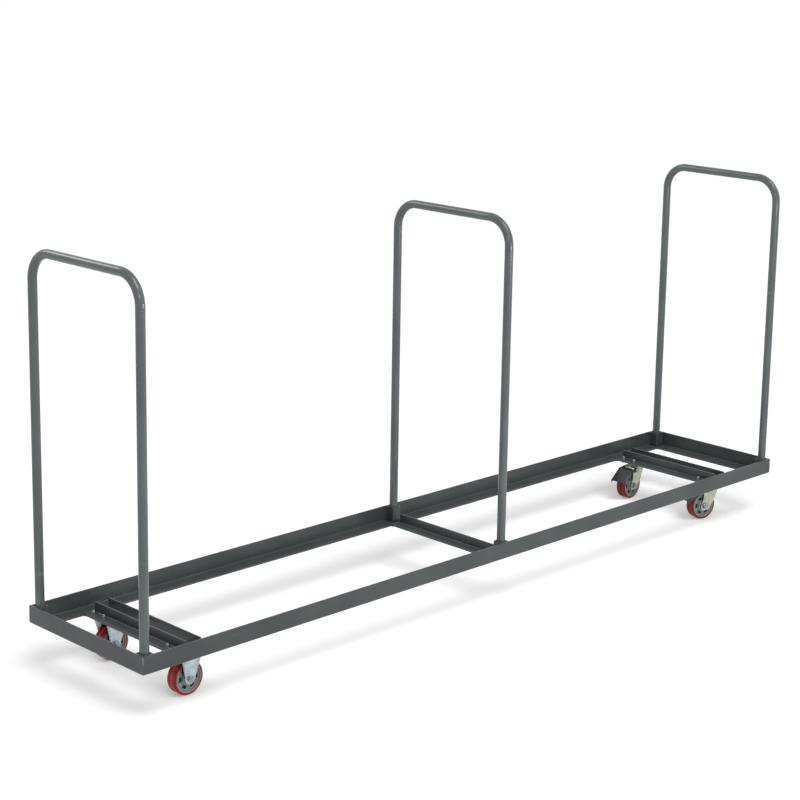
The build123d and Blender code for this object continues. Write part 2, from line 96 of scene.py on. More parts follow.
# %% [markdown]
# Each finish is one Principled shader. Its even values sit on the shader's own sockets, because a value
# that comes through a link can be lost when the model is exported. What changes over the surface is built
# up in layers: one tone under layers of others, each with a mask, the way dirt and wear build up on the
# real thing. Some of those layers are painted light or painted shade instead, as said where they are made.
# Edges have a mask of their own. The Bevel node rounds the normal over a small radius, and where that
# normal leans away from the flat one the surface is near an edge, which is where paint thins and plating
# wears. On the powder coat and the nylon, the paler tone laid there is also a painted highlight of lit
# edges.

# %% Helpers for finishes
FACTOR, UNDER, OVER, MIXED_COLOUR = 0, 6, 7, 2
BEVEL_SAMPLES = 6
EDGE_LEAN = (0.995, 0.85)
MOST_OF_NOISE = (0.35, 0.65)


def new_finish(name, even_values):
    """A new material, its tree, its shader and the piece's own coordinates."""
    material = bpy.data.materials.new(name)
    material.use_nodes = True
    tree = material.node_tree
    shader = tree.nodes["Principled BSDF"]
    for socket, value in even_values.items():
        shader.inputs[socket].default_value = value
    return material, tree, shader, add(tree, "ShaderNodeTexCoord", out="Object")


def layered(tree, tone, layers):
    """A tone with other tones laid over it, each where its mask is 1."""
    for mask, over in layers:
        inputs = {FACTOR: mask, UNDER: tone, OVER: over}
        tone = add(tree, "ShaderNodeMix", inputs, MIXED_COLOUR, data_type="RGBA")
    return tone


def edges(tree, radius):
    """A normal rounded over the edges, and a mask that is 1 on them."""
    rounded = add(tree, "ShaderNodeBevel", {"Radius": radius * MM}, "Normal", samples=BEVEL_SAMPLES)
    flat = add(tree, "ShaderNodeNewGeometry", out="Normal")
    lean = add(tree, "ShaderNodeVectorMath", [rounded, flat], "Value", operation="DOT_PRODUCT")
    return rounded, add(tree, "ShaderNodeMapRange", [lean, *EDGE_LEAN], "Result")


def feed_shader(tree, shader, tone, gloss, normal):
    """Link what a tree worked out to the shader's colour, roughness and normal."""
    for socket, value in (("Base Color", tone), ("Roughness", gloss), ("Normal", normal)):
        tree.links.new(value, shader.inputs[socket])


finishes = {}
print("finishes to make", sorted({part["material_slot"] for part in record["subparts"]}))

# %% [markdown]
# The upright corners of the frame are painted pale in blotches, most of all near the top: partly worn
# coat, partly a painted highlight of the lit corner edge. Such marks could be painted on by hand, but the
# corners stand at places that the CAD model knows, so a mask is worked out from the distance to them
# instead. Taking away the signs of the coordinates folds the four corners onto one, and noise breaks the
# mark into blotches.

# %% Wear and painted highlight on the frame's corners
CORNER_MARK_REACH = 2.6
CORNER_MARK_FULL_TO = 12.0
CORNER_MARK_FADED_AT = 36.0
CORNER_MARK_LOW_DOWN = 0.15
CORNER_MARK_SHARE = (0.10, 0.80)
ALONG_PLUS_ACROSS = (1, 1, 0)
frame_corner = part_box("rear_side_rail")[1]


def corner_wear_and_highlight(tree, place, blotches):
    """A mask of worn coat and painted highlight on the upright corners of the frame, strongest near the top."""
    folded = add(tree, "ShaderNodeVectorMath", [place], "Vector", operation="ABSOLUTE")
    inward = add(tree, "ShaderNodeVectorMath", [frame_corner, folded], "Vector", operation="SUBTRACT")
    apart = add(tree, "ShaderNodeVectorMath", [inward, ALONG_PLUS_ACROSS], "Value", operation="DOT_PRODUCT")
    near = add(tree, "ShaderNodeMapRange", [apart, CORNER_MARK_REACH * MM, CORNER_MARK_REACH * MM / 2], "Result")
    mark_blotches = add(tree, "ShaderNodeMapRange", [blotches, *MOST_OF_NOISE, *CORNER_MARK_SHARE], "Result")
    corner_mark = add(tree, "ShaderNodeMath", [near, mark_blotches], "Value", operation="MULTIPLY")
    down = add(tree, "ShaderNodeSeparateXYZ", [inward], "Z")
    fading = [down, CORNER_MARK_FULL_TO * MM, CORNER_MARK_FADED_AT * MM, 1.0, CORNER_MARK_LOW_DOWN]
    height_share = add(tree, "ShaderNodeMapRange", fading, "Result")
    return add(tree, "ShaderNodeMath", [corner_mark, height_share], "Value", operation="MULTIPLY")


print("frame corner at", [round(v, 4) for v in frame_corner])

# %% [markdown]
# Powder coat is a plastic powder baked onto steel. It gives the eye a satin grey with a very fine
# orange-peel skin, slightly thinner and paler on sharp edges, where the paleness is partly a painted
# highlight, with faint cloudy changes of tone and a few dull rub marks. A picture could be wrapped round
# each piece, but its seams would show, so noise of three real sizes is used. The real skin has bumps under
# a millimetre apart, which the render can't show, so they are drawn about three times as coarse. The tube
# of the hoops is smoother than the formed angle of the frame, so its copy of the coat is a little shinier;
# its tones are also painted paler than the frame's: painted light, for the brighter light on the tubes.

# %% Satin grey powder coat
PEEL_SIZE = 3.0
CLOUD_SIZE = 140.0
RUB_SIZE = 26.0
RUB_STRETCH = (0.35, 0.35, 1.6)
RUBBED = (0.66, 0.78)
GLOSS_CLOUDS = (0.3, 0.7)
COAT_EDGE = 1.2
# Tone of the corner mark: worn coat and painted highlight
CORNER_WEAR_AND_HIGHLIGHT_TONE = "#868C8C"
# Pale, deep, rubbed and edge tones, least and most roughness, and how strongly the coat mirrors
FRAME_COAT = ("#424748", "#3A3F40", "#4B5050", "#595F60", 0.30, 0.40, 0.38)
# The hoops' tones are painted paler than the frame's: painted light
HOOP_COAT_PAINTED_LIGHTER = ("#575E60", "#4E5557", "#5F6566", "#6B7275", 0.15, 0.22, 0.50)


def satin_grey_powder_coat(name, pale, deep, rub_tone, edge_tone, bright, dull, shine):
    """Cloudy satin grey, rubbed in streaks, paler on edges and corners from wear and painted highlight."""
    material, tree, shader, place = new_finish(name, {"IOR": 1.5, "Specular IOR Level": shine})
    cloudy = {"Vector": place, "Scale": per_mm(CLOUD_SIZE), "Detail": 3.0}
    cloud = add(tree, "ShaderNodeTexNoise", cloudy, "Fac")
    stretched = add(tree, "ShaderNodeMapping", {"Vector": place, "Scale": RUB_STRETCH}, "Vector")
    streaky = {"Vector": stretched, "Scale": per_mm(RUB_SIZE), "Detail": 6.0}
    rub = add(tree, "ShaderNodeTexNoise", streaky, "Fac")
    rounded, edge = edges(tree, COAT_EDGE)
    layers = (
        (add(tree, "ShaderNodeMapRange", [cloud, *MOST_OF_NOISE], "Result"), linear(deep)),
        (add(tree, "ShaderNodeMapRange", [rub, *RUBBED], "Result"), linear(rub_tone)),
        (edge, linear(edge_tone)),
        (corner_wear_and_highlight(tree, place, rub), linear(CORNER_WEAR_AND_HIGHLIGHT_TONE)),
    )
    tone = layered(tree, linear(pale), layers)
    gloss = add(tree, "ShaderNodeMapRange", [cloud, *GLOSS_CLOUDS, bright, dull], "Result")
    peeled = {"Vector": place, "Scale": per_mm(PEEL_SIZE), "Detail": 2.0}
    peel = add(tree, "ShaderNodeTexNoise", peeled, "Fac")
    bumps = {"Height": peel, "Strength": 0.18, "Distance": 0.2 * MM, "Normal": rounded}
    feed_shader(tree, shader, tone, gloss, add(tree, "ShaderNodeBump", bumps, "Normal"))
    return material


finishes["grey_powder_coat"] = satin_grey_powder_coat("satin_grey_powder_coat", *FRAME_COAT)
hoop_coat_painted_lighter = satin_grey_powder_coat("satin_grey_powder_coat_painted_lighter_on_tube", *HOOP_COAT_PAINTED_LIGHTER)
print("made", finishes["grey_powder_coat"].name, "and", hoop_coat_painted_lighter.name)

# %% [markdown]
# Zinc plate is a thin bright metal skin on steel. On pressed sheet it looks pale and a little cloudy,
# because the passivation on top breaks the light into faint blue or straw tints. Bearing steel is bare,
# ground and more even. Each could have a tree of its own, but the four metals differ only in their tints,
# their gloss and the size of their clouds, so one function makes them from those values.

# %% Zinc plate and bearing steel
SPANGLE_SIZE = 1.6
PLATE_EDGE = 0.6
# Finish, pale, deep and edge tones, least and most roughness, and the size of the clouds in millimetres
ZINC_FINISHES = {
    "zinc_fasteners": ("bright_zinc_plate", "#A3A8AA", "#868D91", "#B6BBBD", 0.22, 0.38, 5.0),
    "blue_zinc_sheet": ("blue_white_zinc_sheet", "#BCC7CA", "#A2AFB4", "#D3D7D8", 0.34, 0.50, 16.0),
    "yellow_zinc_sheet": ("straw_zinc_sheet", "#BABBA8", "#A3A99B", "#D3D7D8", 0.34, 0.50, 16.0),
    "bearing_steel": ("ground_bearing_steel", "#B9BDBF", "#9EA3A6", "#D3D7D8", 0.24, 0.34, 3.0),
}


def plated_metal(name, pale, deep, edge_tone, bright, dull, cloud_size):
    """Cloudy bare metal, duller in its deep clouds and paler on edges."""
    material, tree, shader, place = new_finish(name, {"Metallic": 1.0})
    cloudy = {"Vector": place, "Scale": per_mm(cloud_size), "Detail": 4.0}
    cloud = add(tree, "ShaderNodeTexNoise", cloudy, "Fac")
    clouds = add(tree, "ShaderNodeMapRange", [cloud, *MOST_OF_NOISE], "Result")
    rounded, edge = edges(tree, PLATE_EDGE)
    tone = layered(tree, linear(pale), ((clouds, linear(deep)), (edge, linear(edge_tone))))
    gloss = add(tree, "ShaderNodeMapRange", [clouds, 0.0, 1.0, bright, dull], "Result")
    spangled = {"Vector": place, "Scale": per_mm(SPANGLE_SIZE), "Detail": 2.0}
    spangle = add(tree, "ShaderNodeTexNoise", spangled, "Fac")
    bumps = {"Height": spangle, "Strength": 0.12, "Distance": 0.1 * MM, "Normal": rounded}
    feed_shader(tree, shader, tone, gloss, add(tree, "ShaderNodeBump", bumps, "Normal"))
    return material


for slot, values in ZINC_FINISHES.items():
    finishes[slot] = plated_metal(*values)
    print("made", finishes[slot].name)

# %% [markdown]
# The wheel centres are moulded nylon: a mid grey with a fine matt texture from the mould, painted paler
# on the rims as a painted highlight. The brake levers are coated black and their shoes are black rubber.
# All three are plain plastics to the eye, told apart by colour, gloss and the grain of their skin. Each
# is painted darker where little open space is near, and the Ambient Occlusion node measures just that:
# painted shade in the pockets and recesses, so no pocket has to be painted by hand.

# %% Moulded grey nylon, black coat and rubber
MOULD_CLOUD = 22.0
# Painted shade in recesses: how far it looks, its samples, the openness it fades over, its cover and tone
RECESS_SHADE_REACH = 12.0
RECESS_SHADE_SAMPLES = 8
RECESS_SHADE_OPENNESS = (0.75, 0.35)
RECESS_SHADE_COVER = (0.0, 0.75)
RECESS_SHADE_TONE = "#2A2D2E"
# Finish, pale, deep and edge tones, edge width in mm, least and most roughness, and grain size in mm
PLASTIC_FINISHES = {
    # The nylon's wide, pale edge tone is a painted highlight on the rims
    "grey_wheel_plastic": ("moulded_grey_nylon", "#7C8587", "#6C7577", "#C4CECF", 2.2, 0.38, 0.55, 0.8),
    "black_brake_steel": ("black_coated_steel", "#2A2B2C", "#222324", "#4A4C4D", 1.4, 0.36, 0.50, 1.5),
    "brake_rubber": ("black_brake_rubber", "#242424", "#1C1C1C", "#333333", 1.4, 0.70, 0.85, 1.0),
}


def moulded_skin(name, pale, deep, edge_tone, edge_size, bright, dull, grain_size):
    """A grained, slightly cloudy skin, paler on edges, with painted shade where it is closed in."""
    material, tree, shader, place = new_finish(name, {"IOR": 1.5, "Specular IOR Level": 0.45})
    cloudy = {"Vector": place, "Scale": per_mm(MOULD_CLOUD), "Detail": 4.0}
    cloud = add(tree, "ShaderNodeTexNoise", cloudy, "Fac")
    clouds = add(tree, "ShaderNodeMapRange", [cloud, *MOST_OF_NOISE], "Result")
    rounded, edge = edges(tree, edge_size)
    # Painted shade: darker where the Ambient Occlusion node finds little open space near
    reach = {"Distance": RECESS_SHADE_REACH * MM}
    openness = add(tree, "ShaderNodeAmbientOcclusion", reach, "AO", samples=RECESS_SHADE_SAMPLES)
    recess_shade = add(tree, "ShaderNodeMapRange", [openness, *RECESS_SHADE_OPENNESS, *RECESS_SHADE_COVER], "Result")
    layers = ((clouds, linear(deep)), (edge, linear(edge_tone)), (recess_shade, linear(RECESS_SHADE_TONE)))
    tone = layered(tree, linear(pale), layers)
    gloss = add(tree, "ShaderNodeMapRange", [clouds, 0.0, 1.0, bright, dull], "Result")
    grained = {"Vector": place, "Scale": per_mm(grain_size), "Detail": 3.0}
    grain = add(tree, "ShaderNodeTexNoise", grained, "Fac")
    bumps = {"Height": grain, "Strength": 0.2, "Distance": 0.1 * MM, "Normal": rounded}
    feed_shader(tree, shader, tone, gloss, add(tree, "ShaderNodeBump", bumps, "Normal"))
    return material


for slot, values in PLASTIC_FINISHES.items():
    finishes[slot] = moulded_skin(*values)
    print("made", finishes[slot].name)

# %% [markdown]
# Two wheels only roll, and two stand in swivel casters. The two swivel wheels are painted a darker,
# browner red, with a dark line in their groove where the others have a pale one: painted shade, for the
# shade these wheels stand in. Everything on a wheel is measured from its axle. The axle's place and
# direction could be typed in, but the joint that the wheel rolls on has them already.

# %% Wheels and their axles
# Pale and deep tones of the running face, the tone of the sides, and the tone of the line in the groove
LEFT_WHEEL_RED = ("#981613", "#880E0F", "#AA281D", "#A08880")
# Painted darker and browner than the left wheels: painted shade
RIGHT_WHEEL_RED_PAINTED_SHADED = ("#781A11", "#6A120C", "#882A1E", "#4A2018")
WHEELS = {
    "front_left": LEFT_WHEEL_RED,
    "rear_left": LEFT_WHEEL_RED,
    "front_right": RIGHT_WHEEL_RED_PAINTED_SHADED,
    "rear_right": RIGHT_WHEEL_RED_PAINTED_SHADED,
}


def axle_turn(corner):
    """How far the wheel's axle is turned about the upright from the cart's own Y axis."""
    axis = Vector(joints[f"{corner}_wheel_roll"]["axis"])
    return math.atan2(-axis.x, axis.y)


print("axles turned by degrees", {corner: round(math.degrees(axle_turn(corner)), 1) for corner in WHEELS})

# %% [markdown]
# Polyurethane is cast onto the wheel as a liquid, and sets to a glossy red. Where it has rolled, the
# running face is duller and holds some dust. The running face is also painted a darker red than the sides:
# painted shade. A line of another tone runs along the groove round its middle. A UV map could carry those
# bands, but they follow the wheel, so the distance from the axle and the distance along it give them
# without one. Each tread has its own copy of the finish, because each has its own axle.

# %% Red polyurethane
SCUFF_SIZE = 6.0
FACE_STARTS, FACE_FULL = 2.5 * MM, 0.5 * MM
BAND_ENDS, BAND_FULL = 13.0 * MM, 9.0 * MM
GROOVE_LINE_ENDS, GROOVE_LINE_FULL = 2.8 * MM, 1.2 * MM
GROOVE_LINE_COVER = 0.65
SCUFFED = (0.45, 0.75)
SCUFF_COVER = 0.10
SCUFF_TONE = "#7E423C"
MOTTLED = (0.3, 0.7)
TREAD_GLOSS = (0.26, 0.60)


def red_polyurethane(corner, radius):
    """Glossy red for one wheel, mottled, dusty and painted darker on its running face, with a line in its groove.
    """
    even = {"IOR": 1.5, "Specular IOR Level": 0.25}
    material, tree, shader, place = new_finish(f"red_polyurethane_{corner}", even)
    axle = Vector(joints[f"{corner}_wheel_roll"]["pos_m"])
    axle_line = Matrix.Rotation(axle_turn(corner), 3, "Z") @ Vector((0, 1, 0))
    centred = add(tree, "ShaderNodeVectorMath", [place, axle], "Vector", operation="SUBTRACT")
    across = add(tree, "ShaderNodeVectorMath", [centred, axle_line], "Value", operation="DOT_PRODUCT")
    far = add(tree, "ShaderNodeVectorMath", [centred], "Value", operation="LENGTH")
    aside = add(tree, "ShaderNodeMath", [across], "Value", operation="ABSOLUTE")
    face = add(tree, "ShaderNodeMapRange", [far, radius - FACE_STARTS, radius - FACE_FULL], "Result")
    band = add(tree, "ShaderNodeMapRange", [aside, BAND_ENDS, BAND_FULL], "Result")
    scuffing = {"Vector": centred, "Scale": per_mm(SCUFF_SIZE), "Detail": 5.0}
    scuff = add(tree, "ShaderNodeTexNoise", scuffing, "Fac")
    rolled = add(tree, "ShaderNodeMath", [face, band], "Value", operation="MULTIPLY")
    dusty = add(tree, "ShaderNodeMapRange", [scuff, *SCUFFED, 0.0, SCUFF_COVER], "Result")
    dust = add(tree, "ShaderNodeMath", [rolled, dusty], "Value", operation="MULTIPLY")
    line = [aside, GROOVE_LINE_ENDS, GROOVE_LINE_FULL, 0.0, GROOVE_LINE_COVER]
    groove_line_mask = add(tree, "ShaderNodeMapRange", line, "Result")
    mottle = add(tree, "ShaderNodeMapRange", [scuff, *MOTTLED], "Result")
    pale, deep, side, groove_line_tone = WHEELS[corner]
    # The running face is painted darker than the sides: painted shade
    running = layered(tree, linear(pale), ((mottle, linear(deep)),))
    layers = ((face, running), (dust, linear(SCUFF_TONE)), (groove_line_mask, linear(groove_line_tone)))
    tone = layered(tree, linear(side), layers)
    gloss = add(tree, "ShaderNodeMapRange", [dust, 0.0, 1.0, *TREAD_GLOSS], "Result")
    bumps = {"Height": scuff, "Strength": 0.08, "Distance": 0.2 * MM}
    feed_shader(tree, shader, tone, gloss, add(tree, "ShaderNodeBump", bumps, "Normal"))
    return material


print("reds of the running faces", {corner: tones[0] for corner, tones in WHEELS.items()})

# %% [markdown]
# Each CAD node already names the finish it takes, in the record's list of sub-parts. The finishes could be
# set node by node, but a loop over that list hands them out, so no node is missed and none keeps the flat
# colour that it came with. The hoops get the copy of the coat that is painted paler as painted light, and
# the treads get their red further on.

# %% Hand the finishes to the solids
node_slots = {part["node"]: part["material_slot"] for part in record["subparts"]}
for name, solid in nodes.items():
    slot = node_slots[name]
    if slot in finishes:
        solid.data.materials.clear()
        solid.data.materials.append(hoop_coat_painted_lighter if name.endswith("_hoop") else finishes[slot])
print("finished", sum(slot in finishes for slot in node_slots.values()), "of", len(node_slots), "nodes")

# %% [markdown]
# The camera stands where the photograph was taken from: off the left front corner, two metres up, with a
# long lens. Its place and turn were worked out from the photograph's edges, so they are plain values here.
# The shift only brings the frame down to where the photograph has it, without tilting the camera.

# %% Camera
LENS = 88.364
SENSOR = 36.0
EYE = Vector((-4.0874, -3.9240, 2.0237))
HEADING = math.radians(44.67)
DIP = math.radians(12.18)
ROLL = math.radians(0.943)
SHIFT_Y = -0.1


def photo_camera():
    """A camera at the photograph's place, turned by its heading, its dip and its roll."""
    level = math.cos(DIP)
    ahead = Vector((math.sin(HEADING) * level, math.cos(HEADING) * level, -math.sin(DIP)))
    side = ahead.cross(Vector((0, 0, 1))).normalized()
    up = side.cross(ahead)
    rolled_side = math.cos(ROLL) * side + math.sin(ROLL) * up
    rolled_up = math.cos(ROLL) * up - math.sin(ROLL) * side
    turn = Matrix((rolled_side, rolled_up, -ahead)).transposed().to_4x4()
    lens = bpy.data.cameras.new("photo_camera")
    lens.lens = LENS
    lens.sensor_width = SENSOR
    lens.shift_y = SHIFT_Y
    camera = bpy.data.objects.new("photo_camera", lens)
    camera.matrix_world = Matrix.Translation(EYE) @ turn
    bpy.context.scene.collection.objects.link(camera)
    return camera


bpy.context.scene.camera = photo_camera()
bpy.context.scene.view_settings.view_transform = "Standard"
print("camera at", [round(v, 3) for v in bpy.context.scene.camera.location])

# %% [markdown]
# The photograph is a cut-out on white with a soft shadow under the cart. A large pale floor catches that
# shadow. More light would whiten the floor, but it would fall on the cart too. So the floor gives off a
# little light of its own, only to the camera and in what metal reflects.

# %% Floor
FLOOR_HALF = 30.0
FLOOR_GLOW = 0.26


def seen_rays(tree):
    """1 for rays from the camera, a mirror or a pane, 0 for the light that falls on things."""
    path = add(tree, "ShaderNodeLightPath").outputs
    seen = path["Is Camera Ray"]
    for other in ("Is Glossy Ray", "Is Transmission Ray"):
        seen = add(tree, "ShaderNodeMath", [seen, path[other]], "Value", operation="MAXIMUM")
    return seen


def pale_floor():
    """A flat square under the cart, matt and nearly white."""
    mesh = bpy.data.meshes.new("floor")
    corners = [(x, y, 0) for x, y in ((-1, -1), (1, -1), (1, 1), (-1, 1))]
    mesh.from_pydata([[FLOOR_HALF * v for v in corner] for corner in corners], [], [(0, 1, 2, 3)])
    floor = bpy.data.objects.new("floor", mesh)
    bpy.context.scene.collection.objects.link(floor)
    material = bpy.data.materials.new("pale_studio_floor")
    material.use_nodes = True
    tree = material.node_tree
    shader = tree.nodes["Principled BSDF"]
    shader.inputs["Base Color"].default_value = linear("#EDEDED")
    shader.inputs["Roughness"].default_value = 0.9
    shader.inputs["Specular IOR Level"].default_value = 0.0
    shader.inputs["Emission Color"].default_value = linear("#FFFFFF")
    glow = add(tree, "ShaderNodeMath", [seen_rays(tree), FLOOR_GLOW], "Value", operation="MULTIPLY")
    tree.links.new(glow, shader.inputs["Emission Strength"])
    mesh.materials.append(material)
    return floor


pale_floor()
print("floor", 2 * FLOOR_HALF, "metres wide, glowing with", FLOOR_GLOW, "where it is seen")

# %% [markdown]
# Behind the cart the photograph is plain white. A white screen could stand there, but it would catch
# shadows of its own, so the world does that work. It is full white where the camera or a reflection sees
# it, and a weaker, even light on everything else.

# %% World
EVEN_LIGHT = 0.38


def white_world():
    """A world that is white where it is seen, and lights things more weakly."""
    world = bpy.data.worlds.new("white_studio")
    world.use_nodes = True
    bpy.context.scene.world = world
    tree = world.node_tree
    background = tree.nodes["Background"]
    strength = add(tree, "ShaderNodeMapRange", [seen_rays(tree), 0.0, 1.0, EVEN_LIGHT, 1.0], "Result")
    tree.links.new(strength, background.inputs["Strength"])
    background.inputs["Color"].default_value = linear("#FFFFFF")


white_world()
print("the world lights things with", EVEN_LIGHT)

# %% [markdown]
# A wide sun from above the front lights everything and lays the soft shadow. One lamp alone would leave
# the steel flat, so three round lamps are placed for what it shows: one low in front, for the middle of
# the front rail and the streaks on the legs, one beside the camera, for the end rail, and one behind, for
# the upper sides of the top bars.

# %% Lights
AIM = Vector((0, 0, 0.3))
# Kind, place in metres, power, and the settings of that kind
LAMPS = (
    ("SUN", (-0.3, -3.0, 6.0), 1.8, {"angle": math.radians(40)}),
    ("AREA", (0.4, -2.3, 0.8), 12, {"shape": "DISK", "size": 0.4}),
    ("AREA", (-3.0, -3.6, 2.6), 20, {"shape": "DISK", "size": 0.9}),
    ("AREA", (-2.2, 4.0, 4.0), 45, {"shape": "DISK", "size": 2.0}),
)


def soft_light(kind, place, power, settings):
    """A lamp of one kind, aimed at the middle of the cart."""
    lamp = bpy.data.lights.new(f"soft_{kind.lower()}", kind)
    lamp.energy = power
    for name, value in settings.items():
        setattr(lamp, name, value)
    light = bpy.data.objects.new(lamp.name, lamp)
    turn = (AIM - Vector(place)).to_track_quat("-Z", "Y")
    light.matrix_world = Matrix.Translation(place) @ turn.to_matrix().to_4x4()
    bpy.context.scene.collection.objects.link(light)


for lamp_values in LAMPS:
    soft_light(*lamp_values)

# %% [markdown]
# Weld beads and threads are small shapes that repeat along a line. They could be modelled one by one, but
# they follow a rule, so Geometry Nodes make them. Each tree takes plain lines as its input, one for each
# bead or bolt, and has a named input for each of its sizes. Every tree starts and ends alike, so two
# helpers open and close it.

# %% Opening and closing a tree
def new_tree(name, sockets):
    """A geometry tree with named number inputs and a material, and the sockets of its group input."""
    tree = bpy.data.node_groups.new(name, "GeometryNodeTree")
    tree.interface.new_socket("Geometry", in_out="INPUT", socket_type="NodeSocketGeometry")
    tree.interface.new_socket("Geometry", in_out="OUTPUT", socket_type="NodeSocketGeometry")
    for socket in sockets:
        tree.interface.new_socket(socket, in_out="INPUT", socket_type="NodeSocketFloat")
    tree.interface.new_socket("Material", in_out="INPUT", socket_type="NodeSocketMaterial")
    return tree, add(tree, "NodeGroupInput").outputs


def close_tree(tree, given, geometry):
    """End a tree: make the copies real, set the finish and hand the mesh out."""
    real = add(tree, "GeometryNodeRealizeInstances", {"Geometry": geometry}, "Geometry")
    finish = {"Geometry": real, "Material": given["Material"]}
    done = add(tree, "GeometryNodeSetMaterial", finish, "Geometry")
    add(tree, "NodeGroupOutput", {"Geometry": done})


print("trees so far", len(bpy.data.node_groups))

# %% [markdown]
# The frame is welded. A hand-run bead is a row of overlapping half-moon ripples, a few millimetres wide,
# lying along the joint of two plates. Bump alone would leave its outline straight, so the tree below turns
# each seam line into a tube whose thickness swells once for every ripple. A little noise keeps the row
# from looking machine made.

# %% Weld bead tree
BEAD_STEPS = 6
BEAD_SIDES = 12
WOBBLE_SIZE = 9.0


def weld_bead_tree():
    """A tree that makes a rippled bead along each line."""
    tree, given = new_tree("weld_bead", ("Bead Radius", "Ripple Pitch", "Ripple Depth"))
    step = add(tree, "ShaderNodeMath", [given["Ripple Pitch"], BEAD_STEPS], "Value", operation="DIVIDE")
    seam = add(tree, "GeometryNodeMeshToCurve", {"Mesh": given["Geometry"]}, "Curve")
    even = add(tree, "GeometryNodeResampleCurve", {"Curve": seam, "Length": step}, "Curve", mode="LENGTH")
    along = add(tree, "GeometryNodeSplineParameter", out="Length")
    count = add(tree, "ShaderNodeMath", [along, given["Ripple Pitch"]], "Value", operation="DIVIDE")
    wobble = add(tree, "ShaderNodeTexNoise", {"Scale": per_mm(WOBBLE_SIZE), "Detail": 1.0}, "Fac")
    phase = add(tree, "ShaderNodeMath", [count, wobble], "Value", operation="ADD")
    half_turns = add(tree, "ShaderNodeMath", [phase, math.pi], "Value", operation="MULTIPLY")
    wave = add(tree, "ShaderNodeMath", [half_turns], "Value", operation="SINE")
    swell = add(tree, "ShaderNodeMath", [wave], "Value", operation="ABSOLUTE")
    lift = add(tree, "ShaderNodeMath", [swell, given["Ripple Depth"]], "Value", operation="MULTIPLY")
    size = add(tree, "ShaderNodeMath", [lift, given["Bead Radius"]], "Value", operation="ADD")
    circle = {"Resolution": BEAD_SIDES, "Radius": 1.0}
    ring = add(tree, "GeometryNodeCurvePrimitiveCircle", circle, "Curve")
    tube = {"Curve": even, "Profile Curve": ring, "Scale": size, "Fill Caps": True}
    close_tree(tree, given, add(tree, "GeometryNodeCurveToMesh", tube, "Mesh"))
    return tree


bead_tree = weld_bead_tree()
print("tree", bead_tree.name, "nodes", len(bead_tree.nodes))

# %% [markdown]
# The beads lie on the mitres across the flanges at the frame's four corners, on the butt joints at both
# ends of each cross angle, and up the corners of the square sockets where they stand by the walls. Those
# seams could be picked from the edges of the meshes, but the boxes of the solids give the same lines with
# less searching.

# %% Sizes of the frame
RAIL_WALL = 4.5 * MM
HEEL_RADIUS = 6.8 * MM

frame_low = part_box("front_side_rail")[0]
rail_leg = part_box("front_side_rail")[1].y - frame_low.y
flange_top = frame_low.z + RAIL_WALL
end_x, side_y, rail_top = frame_corner
socket_low, socket_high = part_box("left_hoop_sockets")
socket_half = (socket_high.x - socket_low.x) / 2
socket_inset = side_y - socket_high.y + socket_half
print("rail leg", round(rail_leg / MM, 1), "mm, socket", round(2 * socket_half / MM, 1), "mm square")

# %% [markdown]
# A welder runs each bead only where the torch can reach. On top of the flange a mitre bead stops at the
# socket, and underneath it keeps clear of the bend of the angle. One long line would run through both, so
# each kind of joint has its own short function, which gives its lines.

# %% Seams of the frame
BEAD_RADIUS = 2.0 * MM
SOCKET_BEAD = 1.7 * MM
# Which way along the cart an end rail stands beside each hoop's sockets, if one does
OUTWARD = {"left": -1, "middle": 0, "right": 1}


def mitre_seams():
    """Lines over and under the mitre at each corner of the frame."""
    clear_of_socket = socket_inset + socket_half + BEAD_RADIUS
    clear_of_bend = 2 * HEEL_RADIUS
    seams = []
    for sx in (-1, 1):
        for sy in (-1, 1):
            for level, first in ((flange_top, clear_of_socket), (frame_low.z, clear_of_bend)):
                inner = (sx * (end_x - rail_leg), sy * (side_y - rail_leg), level)
                outer = (sx * (end_x - first), sy * (side_y - first), level)
                seams.append([outer, inner])
    return seams


def cross_angle_seams():
    """Lines along the ends of each cross angle, over and under its flange."""
    seams = []
    for name in sorted(nodes):
        if name.endswith("cross_angle"):
            low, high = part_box(name)
            for y in (low.y, high.y):
                seams += [[(low.x, y, level), (high.x, y, level)] for level in (flange_top, low.z)]
    return seams


def socket_seams():
    """Upright lines where the corners of the square sockets meet the walls."""
    to_wall = socket_inset - RAIL_WALL - SOCKET_BEAD
    foot = flange_top + RAIL_WALL
    head = rail_top - SOCKET_BEAD
    seams = []
    for hoop, outward in OUTWARD.items():
        low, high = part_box(f"{hoop}_hoop_sockets")
        x = (low.x + high.x) / 2
        for side in (-1, 1):
            y = side * (side_y - socket_inset)
            spots = [(x + along * socket_half, y + side * to_wall) for along in (-1, 1) if along != outward]
            if outward:
                spots.append((x + outward * to_wall, y - side * socket_half))
            seams += [[(*spot, foot), (*spot, head)] for spot in spots]
    return seams


seam_lines = {"frame": mitre_seams() + cross_angle_seams(), "socket": socket_seams()}
print("seams", {place: len(lines) for place, lines in seam_lines.items()})

# %% [markdown]
# A tree works as a modifier, and a modifier needs a piece to sit on. One helper makes a mesh of bare lines.
# The other sets the tree's named inputs and bakes the result to a plain mesh. The modifier could stay live,
# but without it what is left is an ordinary piece at the origin, which moves like any other.

# %% Growing a piece on lines
def line_mesh(name, lines):
    """A mesh of bare lines, each a list of points."""
    points = [point for line in lines for point in line]
    pairs = []
    start = 0
    for line in lines:
        pairs += [(start + i, start + i + 1) for i in range(len(line) - 1)]
        start += len(line)
    mesh = bpy.data.meshes.new(name)
    mesh.from_pydata(points, pairs, [])
    piece = bpy.data.objects.new(name, mesh)
    bpy.context.scene.collection.objects.link(piece)
    return piece


